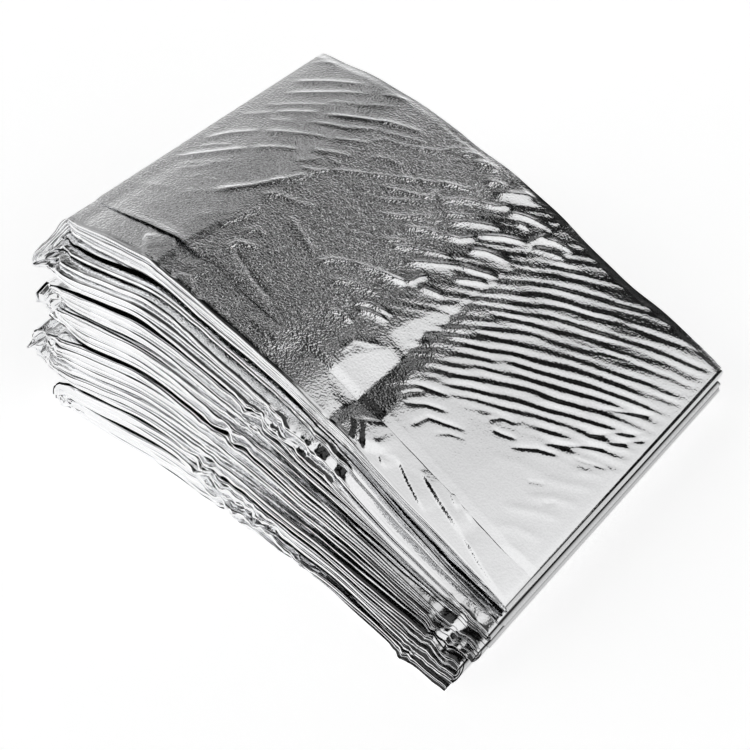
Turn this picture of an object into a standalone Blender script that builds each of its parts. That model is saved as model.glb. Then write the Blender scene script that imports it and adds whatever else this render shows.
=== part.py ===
# A folded emergency foil blanket: one long strip of thin layers, laid back and forth in eight
# runs. The four turns at the loose end stand apart and puff up, and the three turns at the tight
# end are pressed flat, so the stack is a wedge with an arched top. Each run's front edge carries
# the ridges of its finer layers, and the runs step out toward the bottom.
#
# Sizes are in millimetres until the mesh is made. X runs from the loose end to the tight end,
# Y from the front edges to the back, and Z is up from the surface that the stack lies on.

import math

import bmesh
import bpy

length = 125.0        # from the loose end to the tight end
depth = 103.0         # from the front edges to the back at the tight end
tightTurn = 1.15      # how far a pressed turn reaches past its run
insideTurn = 0.3      # the same, for the inner face of a turn
cornerPinch = 0.9     # how far a puffed turn draws in at its corners
tightGap = 0.36       # between the faces of two runs, pressed
looseGap = 0.95       # the same, at the loose end
sheetStep = 0.55      # how far the top sheet's cut edge stands above the sheet under it
ridgeDepth = 1.25     # of the grooves between a front edge's finer layers, at the loose end
pressedRidge = 0.4    # the same, at the tight end
metre = 0.001

# Height of the top: at each x, over the front edges and over the back.
topColumns = ("x", "front", "back")
topRows = (
    (-6.0, 48.6, 50.0),
    (0.0, 50.6, 51.4),
    (10.0, 52.6, 51.8),
    (20.0, 53.6, 51.6),
    (29.0, 54.2, 49.8),
    (38.5, 51.5, 47.9),
    (48.0, 48.2, 45.2),
    (58.0, 44.8, 42.5),
    (67.0, 41.0, 38.9),
    (77.0, 36.0, 34.2),
    (86.5, 31.8, 29.5),
    (96.0, 26.6, 24.9),
    (106.0, 21.2, 20.8),
    (116.0, 15.6, 16.6),
    (126.5, 9.9, 11.4),
)

# A row for each run, from the top down. The front edge is given at the loose end, a third and
# two thirds of the way along, and at the tight end; the back edge at both ends.
runColumns = ("frontLoose", "frontNear", "frontFar", "frontTight", "backLoose", "backTight", "phase")
runRows = (
    (12.6, 13.8, 14.6, 15.6, 100.2, 103.6, 0.3),
    (4.4, 8.8, 10.2, 13.2, 99.2, 103.2, 1.7),
    (4.2, 7.4, 8.6, 10.2, 100.6, 103.9, 3.1),
    (2.9, 5.2, 6.4, 7.2, 99.6, 103.0, 4.6),
    (-1.4, 4.0, 4.6, 4.6, 100.9, 103.6, 0.9),
    (-3.0, 1.8, 2.6, 1.9, 99.4, 103.1, 2.5),
    (-1.6, 2.4, 2.0, -0.6, 100.8, 103.8, 5.2),
    (-0.8, 1.6, 0.6, -3.0, 99.8, 103.4, 3.9),
)

# A row for each pair of runs, which share a turn at the loose end: where the turn ends, how far
# it reaches past its runs, and the heights between which it lies there. It fills its quarter of
# the stack from `body` on.
pairColumns = ("end", "reach", "low", "high", "body")
pairRows = (
    (-0.8, 2.4, 43.4, 50.6, 13.0),
    (0.6, 3.6, 28.4, 38.6, 12.0),
    (-1.2, 3.0, 20.0, 26.8, 12.0),
    (-0.4, 3.2, 0.0, 7.8, 10.0),
)

# The three pressed turns at the tight end, and the top run's free lip past them.
turnEnds = (124.6, 125.1, 124.8)
topLip = 125.9
bottomLip = 125.3

# Soft creases of the top sheet: a line from one point to another, its half width, and its height
# over the sheet, or depth where it is negative.
creaseColumns = ("fromX", "fromY", "toX", "toY", "width", "height")
creaseRows = (
    (46.0, 22.0, 70.0, 104.0, 6.0, -1.0),
    (20.0, 26.0, 22.0, 104.0, 7.0, 0.8),
    (4.0, 30.0, 44.0, 96.0, 6.0, -0.8),
    (60.0, 26.0, 96.0, 104.0, 9.0, 0.7),
    (98.0, 24.0, 112.0, 104.0, 7.0, -0.5),
)

# The front edge of a run seen end on: three ridges. How far each point is set back from the edge,
# in groove depths, and where it lies across the run, from 1 at its top face to -1 at its bottom.
frontColumns = ("setBack", "across", "stagger")
frontRows = (
    (1.00, -1.00, 0.0),
    (0.32, -0.88, 0.8),
    (0.00, -0.68, 0.8),
    (0.30, -0.47, 0.8),
    (1.10, -0.36, 0.4),
    (0.34, -0.24, -0.5),
    (0.00, 0.00, -0.5),
    (0.34, 0.22, -0.5),
    (1.15, 0.34, 0.2),
    (0.28, 0.47, 0.5),
    (0.00, 0.68, 0.5),
    (0.34, 0.88, 0.5),
    (1.00, 1.00, 0.0),
)
backRows = (
    (1.00, 1.00, 0.0),
    (0.10, 0.70, 0.6),
    (0.15, 0.30, 0.6),
    (1.00, 0.08, 0.0),
    (0.15, -0.25, -0.6),
    (0.10, -0.70, -0.6),
    (1.00, -1.00, 0.0),
)
cutEdge = (21.8, 24.2)                                  # of the top sheet, at both ends
topAcross = (0.08, 0.2, 0.34, 0.48, 0.62, 0.76, 0.9)    # from the cut edge to the back
bottomAcross = (0.12, 0.35, 0.6, 0.85)                  # from the back to the front, as shares
runStations = (0.0, 0.03, 0.08, 0.15, 0.23, 0.32, 0.41, 0.5, 0.59, 0.68, 0.77, 0.86, 0.94, 1.0)
topStations = 24
turnSteps = 6


def readAt(columns, rows, name, x):
    """The named column at x, along a smooth curve through the rows."""
    column = columns.index(name)
    if x <= rows[0][0]:
        return rows[0][column]
    for i in range(len(rows) - 1):
        if x > rows[i + 1][0]:
            continue
        before = rows[max(i - 1, 0)]
        low, high = rows[i], rows[i + 1]
        after = rows[min(i + 2, len(rows) - 1)]
        span = high[0] - low[0]
        share = (x - low[0]) / span
        slopeLow = (high[column] - before[column]) / (high[0] - before[0]) * span
        slopeHigh = (after[column] - low[column]) / (after[0] - low[0]) * span
        cube = share ** 3
        square = share ** 2
        return (
            low[column] * (2 * cube - 3 * square + 1)
            + slopeLow * (cube - 2 * square + share)
            + high[column] * (3 * square - 2 * cube)
            + slopeHigh * (cube - square)
        )
    return rows[-1][column]


def ease(share):
    """0 to 1 with a soft start and end."""
    share = min(max(share, 0.0), 1.0)
    return share * share * (3 - 2 * share)


def mix(a, b, share):
    return a + (b - a) * share


def stackTop(x, y):
    front = readAt(topColumns, topRows, "front", x)
    back = readAt(topColumns, topRows, "back", x)
    return mix(front, back, min(max(y / depth, 0.0), 1.0))


def gapAt(x):
    return mix(looseGap, tightGap, ease(x / length))


def pairSpan(pair, x, y):
    """The heights of a pair of runs at x: its bottom and its top."""
    row = dict(zip(pairColumns, pairRows[pair]))
    top = stackTop(x, y)
    gap = gapAt(x)
    high = top * (4 - pair) / 4 - (gap / 2 if pair else 0)
    low = top * (3 - pair) / 4 + (gap / 2 if pair < 3 else 0)
    share = ease((x - row["end"]) / (row["body"] - row["end"])) ** 0.6
    return mix(row["low"], low, share), mix(min(row["high"], top), high, share)


def runFaces(run, x, y):
    """The bottom and the top of one run at x."""
    low, high = pairSpan(run // 2, x, y)
    middle = (low + high) / 2
    half = min(gapAt(x) / 2, 0.2 * (high - low))
    if run % 2 == 0:
        return middle + half, high
    return low, middle - half


def wave(phase, x, size):
    return size * (0.6 * math.sin(x / 7.3 + phase) + 0.4 * math.sin(x / 3.4 + 2.3 * phase))


def frontEdge(run, x, stagger):
    """Where a run's front edge lies at x. A stagger between -1 and 1 moves one of its ridges."""
    row = dict(zip(runColumns, runRows[run]))
    share = min(max(x / length, 0.0), 1.0)
    third = share * 3
    if third < 1:
        edge = mix(row["frontLoose"], row["frontNear"], ease(third))
    elif third < 2:
        edge = mix(row["frontNear"], row["frontFar"], third - 1)
    else:
        edge = mix(row["frontFar"], row["frontTight"], ease(third - 2))
    swing = mix(0.7, 0.12, ease(share))
    moved = stagger * mix(1.0, 0.35, share) * (1 + 0.6 * math.sin(x / 11 + 2 * row["phase"]))
    return edge + wave(row["phase"], x, swing) + moved


def backEdge(run, x):
    row = dict(zip(runColumns, runRows[run]))
    share = min(max(x / length, 0.0), 1.0)
    return mix(row["backLoose"], row["backTight"], share) + wave(row["phase"] + 2, x, 0.35)


def creaseAt(x, y):
    """How far the creases lift or lower the top sheet."""
    total = 0.0
    for values in creaseRows:
        row = dict(zip(creaseColumns, values))
        alongX = row["toX"] - row["fromX"]
        alongY = row["toY"] - row["fromY"]
        size = alongX ** 2 + alongY ** 2
        share = ((x - row["fromX"]) * alongX + (y - row["fromY"]) * alongY) / size
        share = min(max(share, 0.0), 1.0)
        away = math.hypot(x - row["fromX"] - share * alongX, y - row["fromY"] - share * alongY)
        total += row["height"] * math.exp(-(away / row["width"]) ** 2)
    return total * ease(x / 18) * ease((length + 2 - x) / 25)


def outline(run, x, pinch):
    """The strip's outline at x in one run, as (y, across): up the front edge, back over the outer
    face, down the back edge and forward along the inner one. The outer face is the one outside
    the turns at the loose end: the top of an even run, and the bottom of an odd one. The pinch
    draws the corners in where the strip turns or ends."""
    share = min(max(x / length, 0.0), 1.0)
    groove = mix(ridgeDepth, pressedRidge, share)
    points = []
    for setBack, across, stagger in frontRows:
        points.append((frontEdge(run, x, stagger) + setBack * groove + pinch, across))
    front = points[-1][0]
    back = backEdge(run, x) - pinch
    cut = mix(cutEdge[0], cutEdge[1], share) + wave(1.0, x, 0.3) + pinch * 0.5
    points.append((cut - 0.5, 1.0))
    points.append((cut, 1.0))
    for place in topAcross:
        points.append((mix(cut, back - groove, place), 1.0))
    for setBack, across, stagger in backRows:
        points.append((back + 0.6 * stagger - setBack * groove, across))
    for place in bottomAcross:
        points.append((mix(front, back, 1 - place), -1.0))
    return points


def faceHeight(run, x, y, across, beforeCut):
    """The height of a point of the outline, from the faces of its run."""
    low, high = runFaces(run, x, y)
    if run % 2:
        return mix(high, low, (across + 1) / 2)
    height = mix(low, high, (across + 1) / 2)
    if run == 0:
        lift = max(across, 0.0)
        height += lift * (creaseAt(x, y) - (sheetStep if beforeCut else 0.0))
    return height


def runLoop(run, x, pinch, flat):
    """The outline at x in space. A flat of 0 keeps its thickness, and 1 closes it."""
    loop = []
    for index, (y, across) in enumerate(outline(run, x, pinch)):
        height = faceHeight(run, x, y, across, index <= len(frontRows))
        middle = sum(runFaces(run, x, y)) / 2
        loop.append((x, y, mix(height, middle, flat)))
    return loop


def turnLoop(upper, startX, reach, angle):
    """The outline partway round a turn that joins a run to the one under it. A reach below 0
    turns at the loose end, where the outer face is outside the turn."""
    around = math.sin(angle)
    level = math.cos(angle)
    pinch = around * (cornerPinch if reach < 0 else 0.2)
    above = outline(upper, startX, pinch)
    below = outline(upper + 1, startX, pinch)
    loop = []
    for index, ((yAbove, across), (yBelow, _)) in enumerate(zip(above, below)):
        y = mix(yAbove, yBelow, (1 - level) / 2)
        outward = (1 + across) / 2 if reach < 0 else (1 - across) / 2
        x = startX + math.copysign(mix(insideTurn, abs(reach), outward), reach) * around
        middle = (runFaces(upper, x, y)[0] + runFaces(upper + 1, x, y)[1]) / 2
        run = upper if level >= 0 else upper + 1
        height = faceHeight(run, x, y, across, index <= len(frontRows))
        loop.append((x, y, middle + (height - middle) * abs(level)))
    return loop


def looseTurn(run):
    return pairRows[run // 2][pairColumns.index("reach")]


def runEnds(run):
    """Where a run starts at the loose end and stops at the tight end."""
    start = pairRows[run // 2][pairColumns.index("end")] + looseTurn(run)
    if run == 0:
        return start, topLip
    if run == len(runRows) - 1:
        return start, bottomLip
    return start, turnEnds[(run - 1) // 2] - tightTurn


def stripLoops():
    """Every outline of the strip in order, from the top run's free lip to the bottom run's end."""
    loops = []
    count = len(runRows)
    for run in range(count):
        start, stop = runEnds(run)
        if run == 0:
            shares = [i / (topStations - 1) for i in range(topStations)]
        else:
            shares = list(runStations)
        stations = [mix(start, stop, share) for share in shares]
        towardLoose = run % 2 == 0
        if towardLoose:
            stations.reverse()
        for place, x in enumerate(stations):
            atLip = run == 0 and place == 0
            atFoot = run == count - 1 and place == len(stations) - 1
            free = atLip or atFoot
            loops.append(runLoop(run, x, 0.5 if free else 0.0, 0.55 if free else 0.0))
        if run == count - 1:
            break
        for step in range(1, turnSteps):
            angle = math.pi * step / turnSteps
            if towardLoose:
                loops.append(turnLoop(run, start, -looseTurn(run), angle))
            else:
                loops.append(turnLoop(run, stop, tightTurn, angle))
    return loops


def buildStrip(name):
    mesh = bmesh.new()
    rings = [[mesh.verts.new(point) for point in loop] for loop in stripLoops()]
    size = len(rings[0])
    for before, after in zip(rings, rings[1:]):
        for i in range(size):
            j = (i + 1) % size
            mesh.faces.new((before[i], before[j], after[j], after[i]))
    mesh.faces.new(list(reversed(rings[0])))
    mesh.faces.new(rings[-1])
    bmesh.ops.triangulate(mesh, faces=mesh.faces[:])
    bmesh.ops.recalc_face_normals(mesh, faces=mesh.faces[:])
    lowest = [min(v.co[axis] for v in mesh.verts) for axis in range(3)]
    highest = [max(v.co[axis] for v in mesh.verts) for axis in range(3)]
    for v in mesh.verts:
        v.co.x = (v.co.x - (lowest[0] + highest[0]) / 2) * metre
        v.co.y = (v.co.y - (lowest[1] + highest[1]) / 2) * metre
        v.co.z = (v.co.z - lowest[2]) * metre
    data = bpy.data.meshes.new(name)
    mesh.to_mesh(data)
    mesh.free()
    strip = bpy.data.objects.new(name, data)
    bpy.context.scene.collection.objects.link(strip)
    return strip


def foilMaterial(name):
    material = bpy.data.materials.new(name)
    material.use_nodes = True
    surface = material.node_tree.nodes["Principled BSDF"]
    surface.inputs["Base Color"].default_value = (0.78, 0.79, 0.80, 1.0)
    surface.inputs["Metallic"].default_value = 1.0
    surface.inputs["Roughness"].default_value = 0.25
    return material


for thing in list(bpy.data.objects):
    bpy.data.objects.remove(thing)
blanket = buildStrip("foil_strip")
blanket.data.materials.append(foilMaterial("silver_foil"))
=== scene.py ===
import math

import bmesh
import bpy
import numpy as np
from mathutils import Matrix, Vector


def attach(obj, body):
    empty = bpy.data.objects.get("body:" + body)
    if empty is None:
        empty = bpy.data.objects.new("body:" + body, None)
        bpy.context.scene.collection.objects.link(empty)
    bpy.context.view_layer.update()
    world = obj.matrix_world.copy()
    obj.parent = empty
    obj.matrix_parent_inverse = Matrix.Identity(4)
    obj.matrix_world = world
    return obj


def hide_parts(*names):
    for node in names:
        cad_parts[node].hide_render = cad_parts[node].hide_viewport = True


print("loading the frame")
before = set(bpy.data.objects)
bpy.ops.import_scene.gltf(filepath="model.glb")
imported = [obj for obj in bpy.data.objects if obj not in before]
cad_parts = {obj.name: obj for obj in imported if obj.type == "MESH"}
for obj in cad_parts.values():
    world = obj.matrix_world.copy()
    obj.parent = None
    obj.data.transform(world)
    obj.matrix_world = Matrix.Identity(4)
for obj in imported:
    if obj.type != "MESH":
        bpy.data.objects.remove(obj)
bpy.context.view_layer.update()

# The sizes below are in millimetres, with X from the loose end to the tight end, Y from the
# open front edges to the back and Z up. The last step moves them into the part's own frame.
stack = {
    "length": 125.0,
    "depth": 103.0,
    "centreX": 62.35,
    "centreY": 50.62,
    "tightTurn": 1.15,  # how far a pressed turn reaches past its run
    "insideTurn": 0.3,
    "cornerPinch": 0.9,
    "tightGap": 0.3,  # between two runs
    "looseGap": 0.32,
    "mouth": 0.12,  # how much farther apart they are at the tight end
    "mouthSpan": (116.0, 123.0),
    "turnEnds": (125.75, 126.1, 124.8),
    "turnSwell": 0.2,  # how far a pressed turn's corners spread
    "droop": 0.2,  # how the layers in front of the top run slope down
    "droopReach": 5.0,
    "droopSpan": (62.0, 78.0),  # where the slope sets in
    "droopEnd": (84.0, 98.0, 0.3),  # where most of it ends, and the share that is left
    "droopLow": 0.7,  # below this share of the height it fades
    "pressSpan": (80.0, 120.0),
    "groove": 0.16,  # how far a pressed turn narrows toward its outer face
    "topLip": 124.9,
    "topReach": 0.5,  # how far its closed end bulges
    "bottomLip": 123.6,
}
topRows = (  # x, height over the front, height over the back
    (-6.0, 48.6, 50.0),
    (0.0, 50.6, 51.4),
    (10.0, 52.6, 51.8),
    (20.0, 53.6, 51.6),
    (29.0, 54.2, 49.8),
    (38.5, 51.5, 47.9),
    (48.0, 48.2, 45.2),
    (58.0, 44.8, 42.5),
    (67.0, 41.0, 38.9),
    (77.0, 36.0, 34.2),
    (86.5, 31.8, 29.5),
    (96.0, 26.6, 24.9),
    (106.0, 21.2, 20.8),
    (116.0, 15.6, 16.6),
    (126.5, 9.9, 11.4),
)
runRows = (  # front edge at 0, 1/3, 2/3 and 1 of the length, back edge at both ends, phase
    (12.6, 13.8, 14.6, 15.6, 100.2, 103.6, 0.3),
    (4.4, 8.8, 10.2, 13.2, 99.2, 103.2, 1.7),
    (4.2, 7.4, 8.6, 10.2, 100.6, 103.9, 3.1),
    (2.9, 5.2, 6.4, 7.2, 99.6, 103.0, 4.6),
    (-1.4, 4.0, 4.6, 4.6, 100.9, 103.6, 0.9),
    (-3.0, 1.8, 2.6, 1.9, 99.4, 103.1, 2.5),
    (-1.6, 2.4, 2.0, -0.6, 100.8, 103.8, 5.2),
    (-0.8, 1.6, 0.6, -3.0, 99.8, 103.4, 3.9),
)
pairRows = (  # where a pair's loose turn ends, its reach, its low and high there, body from
    (-0.8, 1.4, 43.4, 52.2, 13.0),
    (0.6, 3.6, 28.4, 38.6, 12.0),
    (-1.2, 3.0, 20.0, 26.8, 12.0),
    (-0.4, 3.2, 0.0, 7.8, 10.0),
)


def mix(a, b, share):
    return a + (b - a) * share


def ease(share):
    share = np.clip(share, 0.0, 1.0)
    return share * share * (3 - 2 * share)


def between(x, start, stop):  # 0 before start, 1 past stop
    return ease((x - start) / (stop - start))


def alongRows(rows, column, x):  # a smooth curve through one column of the rows
    table = np.array(rows)
    xs, ys = table[:, 0], table[:, column]
    x = np.clip(x, xs[0], xs[-1])
    i = np.clip(np.searchsorted(xs, x, side="right") - 1, 0, len(xs) - 2)
    before, after = np.maximum(i - 1, 0), np.minimum(i + 2, len(xs) - 1)
    span = xs[i + 1] - xs[i]
    share = (x - xs[i]) / span
    slopeLow = (ys[i + 1] - ys[before]) / (xs[i + 1] - xs[before]) * span
    slopeHigh = (ys[after] - ys[i]) / (xs[after] - xs[i]) * span
    cube, square = share**3, share**2
    return (
        ys[i] * (2 * cube - 3 * square + 1)
        + slopeLow * (cube - 2 * square + share)
        + ys[i + 1] * (3 * square - 2 * cube)
        + slopeHigh * (cube - square)
    )


def stackTop(x, y):
    front = alongRows(topRows, 1, x)
    back = alongRows(topRows, 2, x)
    return mix(front, back, np.clip(y / stack["depth"], 0.0, 1.0))


def gapAt(x):
    gap = mix(stack["looseGap"], stack["tightGap"], ease(x / stack["length"]))
    return gap + stack["mouth"] * between(x, *stack["mouthSpan"])


def runFaces(run, x, y):  # the bottom and the top of a run
    pair = run // 2
    end, reach, tipLow, tipHigh, body = pairRows[pair]
    top = stackTop(x, y)
    gap = gapAt(x)
    high = top * (4 - pair) / 4 - (gap / 2 if pair else 0)
    low = top * (3 - pair) / 4 + (gap / 2 if pair < 3 else 0)
    share = ease((x - end) / (body - end)) ** 0.6
    low = mix(tipLow, low, share)
    high = mix(np.minimum(tipHigh, top), high, share)
    middle = (low + high) / 2
    half = np.minimum(gap / 2, 0.2 * (high - low))
    if run % 2 == 0:
        return middle + half, high
    return low, middle - half


def unevenness(seed, x, lengths, sizes):  # a smooth wander along x, the same for one seed
    rng = np.random.default_rng(seed)
    total = 0.0
    for span, size in zip(lengths, sizes):
        turns = x / span * rng.uniform(0.8, 1.25) + rng.random()
        total = total + size * np.sin(2 * math.pi * turns)
    return total


# the strip: thin layers folded across it, laid back and forth
strip = {
    "layers": 10,  # across one run
    "looseStations": 62,  # along the first stretch of a run, by the loose end
    "looseStretch": 13.0,
    "stations": 208,  # along the rest of it
    "turnSteps": 16,
    "capSteps": 7,
    "paintedEndShade": 0.36,  # painted shade: the closed ends are painted a little darker, and their seams painted black
    "lipSteps": 7,
    "foldSteps": 4,
    "stagger": 0.16,  # how unevenly the lips stand out
    "lipWander": ((71.0, 29.0, 11.0), (1.0, 0.6, 0.2)),  # spans and sizes of a slow wander
    "backWander": ((38.0, 15.0), (0.3, 0.12)),
    "layerWander": ((47.0, 17.0), (0.06, 0.03)),
    "bunching": 0.4,  # how unevenly the layers share a run's height
    "lipSwell": (0.49, 0.62),  # how far lips swell into the space between them, at both ends
    "swellReach": 7.0,
    "closePlace": 0.985,
    "lean": 0.48,  # how far whole runs lean toward each other at the loose end
    "leanSpan": (50.0, 100.0),
    "liftReach": 12.0,
    "thinBack": 1.5,  # lips that stand back this far don't swell
    "bulge": 0.75,  # the most that a fold's round reaches past its edge
    "nearShares": (0.0, 0.006, 0.014, 0.026, 0.045, 0.075, 0.12),  # of the way to the back
    "fineShares": (0.12, 34),  # up to here, and how many, where the film shows
    "farShares": (0.2, 0.5, 0.8, 0.95, 1.0),
    "fewShares": (0.2, 0.8, 1.0),
}
lipRows = (  # for each run, from its top down: how far its edges and lips stand back at the
    # loose end, and then at the tight end
    (0.0, 0.5, 0.2, 0.7, 0.3, 0.9, 0.0, 0.0, 1.6, 0.1, 1.8, 0.3),
    (6.7, 4.4, 2.0, 0.2, -0.2, 0.2, 0.6, 0.4, -2.6, 3.2, -2.9, 3.0),
    (0.3, 0.1, 0.2, 0.0, 0.3, 0.1, 0.0, 0.0, 7.4, 0.1, 7.2, 6.8),
    (0.2, 0.0, 0.3, 0.1, 0.2, 0.0, 0.2, 7.2, 0.0, 7.4, 0.1, 7.0),
    (0.6, 0.3, 0.0, 0.2, 0.0, 0.3, 0.0, 0.1, 7.2, 0.0, 7.6, 6.0),
    (0.0, 0.2, 0.0, 0.3, 0.1, 0.2, 0.1, 7.0, 0.0, 7.4, 0.0, 0.2),
    (0.5, 0.2, 0.0, 0.2, 0.1, 0.3, 6.8, 0.0, 7.4, 0.1, 7.2, 0.1),
    (0.2, 0.0, 0.3, 0.0, 0.2, 0.1, 0.0, 7.2, 0.1, 7.0, 0.0, 0.5),
)
liftRows = {  # layers that rise toward the lips above them, in layer spacings
    (0, 9): 0.4,
    (1, 9): 0.8,
    (1, 8): 0.6,
    (1, 7): 0.6,
    (1, 6): 0.4,
    (1, 5): 0.4,
    (1, 4): 0.2,
    (1, 3): 0.2,
}
stillFaces = ((0, 0), (0, 1), (0, 9), (1, 9), (7, 0))  # outer layers that don't lean


def frontLine(run, x):
    row = runRows[run]
    share = np.clip(x / stack["length"], 0.0, 1.0)
    third = share * 3
    first = mix(row[0], row[1], ease(third))
    second = mix(row[1], row[2], np.clip(third - 1, 0, 1))
    last = mix(row[2], row[3], ease(third - 2))
    return np.where(third < 1, first, np.where(third < 2, second, last))


def frontEdge(run, lip, x):  # past the loose tips the lips come down like even stairs
    share = np.clip(x / stack["length"], 0.0, 1.0)
    line = frontLine(run, x)
    column = 5 - lip if run % 2 else lip
    standBack = mix(lipRows[run][column], lipRows[run][column + 6], share**2.2)
    stairs = 0.0
    if run > 1:
        above = (frontLine(run - 1, x) - line) / 2
        below = (frontLine(min(run + 1, 7), x) - line) / 2
        stairs = mix(above, below, column / 5) * ease((x - 2) / 14)
    wander = unevenness(1000 + 20 * run + lip, x, *strip["lipWander"])
    return line + standBack + stairs + strip["stagger"] * wander


def backEdge(run, fold, x):
    row = runRows[run]
    share = np.clip(x / stack["length"], 0.0, 1.0)
    seed = 3000 + 20 * run + fold
    fixed = np.random.default_rng(seed).uniform(-0.6, 0.3)
    return mix(row[4], row[5], share) + fixed + unevenness(seed, x, *strip["backWander"])


def crossPath(detailed):  # how the film goes across the strip: layer, share of the way back, turn
    count = strip["layers"]
    path = []
    for layer in range(count):
        forward = layer % 2 == 0  # from the front to the back
        near, far = strip["nearShares"], strip["farShares"]
        if layer == 1 and detailed:
            near = tuple(np.linspace(0.0, *strip["fineShares"]))
        elif detailed:
            far = strip["fewShares"]
        shares = near + far
        if not forward:
            shares = shares[::-1]
        for share in shares:
            path.append((layer, share, None))
        if layer == count - 1:
            break
        steps = strip["foldSteps"] if forward else strip["lipSteps"]
        for step in range(1, steps + 1):
            path.append((layer, 1.0 if forward else 0.0, step / (steps + 1)))
    return path


def layerPlace(run, layer, x, share):  # from 1 at the outer face to -1 at the inner one
    count = strip["layers"]
    inward = share * stack["depth"]
    pitch = 2 / (count - 1)
    place = 1 - layer * pitch
    first = 1
    if run == 0 and layer:  # the cut run's second layer lies close under the top sheet
        close = mix(strip["closePlace"], -1, (layer - 1) / (count - 2))
        place = mix(close, place, ease((share - 0.35) / 0.4))
        first = 2
    if first <= layer < count - 1:
        seed = 5000 + 20 * run + layer
        fixed = np.random.default_rng(seed).uniform(-1, 1) * strip["bunching"]
        wander = unevenness(seed, x, *strip["layerWander"])
        place = place + pitch * (fixed + wander)
        lip = (layer + 1) // 2
        standBack = lipRows[run][(5 - lip if run % 2 else lip) + 6]
        forward = 1 - min(max(standBack, 0) / strip["thinBack"], 1)
        looseSwell, tightSwell = strip["lipSwell"]
        swell = mix(looseSwell, tightSwell * forward, np.clip(x / 110, 0, 1) ** 2)
        swell = swell * (1 - ease(inward / strip["swellReach"]))
        place = place + pitch * swell * (1 if layer % 2 else -1)
    elif (run, layer) not in stillFaces:
        low, high = runFaces(run, x, x * 0 + 5.0)
        spare = strip["lean"] * gapAt(x) * 2 / (high - low)
        spare = spare * (1 - ease(inward / strip["swellReach"]))
        spare = spare * (1 - between(x, *strip["leanSpan"]))
        place = place + spare * (1 if layer == 0 else -1)
    lift = liftRows.get((run, layer), 0) * pitch * (-1 if run % 2 else 1)
    return place + lift * (1 - ease(inward / strip["liftReach"])) + 0 * x


def outline(run, x, detailed):  # y and place across the run, for each station and point
    path = crossPath(detailed)
    count = strip["layers"]
    ys = np.zeros((len(x), len(path)))
    places = np.zeros_like(ys)
    fronts = [frontEdge(run, lip, x) for lip in range(count // 2 + 1)]
    backs = [backEdge(run, fold, x) for fold in range(count // 2)]
    low, high = runFaces(run, x, x * 0 + 20.0)
    for index, (layer, share, turn) in enumerate(path):
        front = fronts[(layer + 1) // 2]
        back = backs[layer // 2]
        if turn is None:
            ys[:, index] = mix(front, back, share)
            places[:, index] = layerPlace(run, layer, x, share)
            continue
        above = layerPlace(run, layer, x, share)
        below = layerPlace(run, layer + 1, x, share)
        radius = (above - below) / 2 * (high - low) / 2
        angle = math.pi * turn
        places[:, index] = (above + below) / 2 + (above - below) / 2 * math.cos(angle)
        bulge = np.minimum(radius, strip["bulge"]) * math.sin(angle)
        ys[:, index] = back + bulge if share else front - bulge
    return ys, places


def pointHeight(run, x, y, place):
    low, high = runFaces(run, x, y)
    if run % 2:
        return mix(high, low, (place + 1) / 2)
    return mix(low, high, (place + 1) / 2)


def runPoints(run, stations, detailed):
    ys, places = outline(run, stations, detailed)
    xs = np.repeat(stations[:, None], ys.shape[1], 1)
    return np.stack([xs, ys, pointHeight(run, xs, ys, places)], -1)


tipRows = (  # how far each pair's front corner pokes out forwards and past the loose end
    (4.6, 0.6),
    (1.8, 2.2),
    (0.8, 1.0),
    (0.6, 0.9),
)


def turnPoints(upper, startX, reach, detailed):
    steps = strip["turnSteps"]
    angles = np.arange(1, steps) / steps * math.pi
    here = np.full(len(angles), startX)
    above, placeAbove = outline(upper, here, detailed)
    below, placeBelow = outline(upper + 1, here, detailed)
    around = np.sin(angles)[:, None]
    level = np.cos(angles)[:, None]
    share = (1 - level) / 2
    ys = mix(above, below, share)
    places = mix(placeAbove, placeBelow, share)
    toMiddle = 1 - 2 * ys / stack["depth"]
    pinch = stack["cornerPinch"] if reach < 0 else stack["turnSwell"]
    ys = ys + around * pinch * np.sign(toMiddle) * toMiddle**4
    corner = around * (1 - ease((ys - 4) / 12)) if reach < 0 else 0 * ys
    forward, outwards = tipRows[upper // 2]
    ys = ys - forward * corner
    outward = (1 + places) / 2 if reach < 0 else (1 - places) / 2
    xs = startX + math.copysign(1, reach) * mix(stack["insideTurn"], abs(reach), outward) * around
    xs = xs - outwards * corner * outward
    middle = (runFaces(upper, xs, ys)[0] + runFaces(upper + 1, xs, ys)[1]) / 2
    heights = np.where(
        level >= 0, pointHeight(upper, xs, ys, places), pointHeight(upper + 1, xs, ys, places)
    )
    squeeze = 1.0 if reach < 0 else 1 - stack["groove"] * around
    return np.stack([xs, ys, middle + (heights - middle) * np.abs(level) * squeeze], -1)


def runEnds(run):
    end, reach = pairRows[run // 2][:2]
    start = end + reach
    if run == 0:
        return start, stack["topLip"]
    if run == 7:
        return start, stack["bottomLip"]
    return start, stack["turnEnds"][(run - 1) // 2] - stack["tightTurn"]


def stationsAlong(start, stop):  # from the loose end, closer together there
    near = np.linspace(start, start + strip["looseStretch"], strip["looseStations"])
    rest = np.linspace(start + strip["looseStretch"], stop, strip["stations"] + 1)
    return np.concatenate([near, rest[1:]])


def closedEnd(row):  # the layers of the top run close over their end in a low bulge
    angles = (np.arange(1, strip["capSteps"] + 1) / strip["capSteps"] * math.pi / 2)[:, None]
    low, high = runFaces(0, row[:, 0], row[:, 1])
    middle = (low + high) / 2
    xs = row[:, 0] + stack["topReach"] * np.sin(angles)
    ys = row[:, 1] + 0 * angles
    heights = middle + (row[:, 2] - middle) * np.cos(angles) ** 0.6
    return np.stack([xs, ys, heights], -1)


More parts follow.
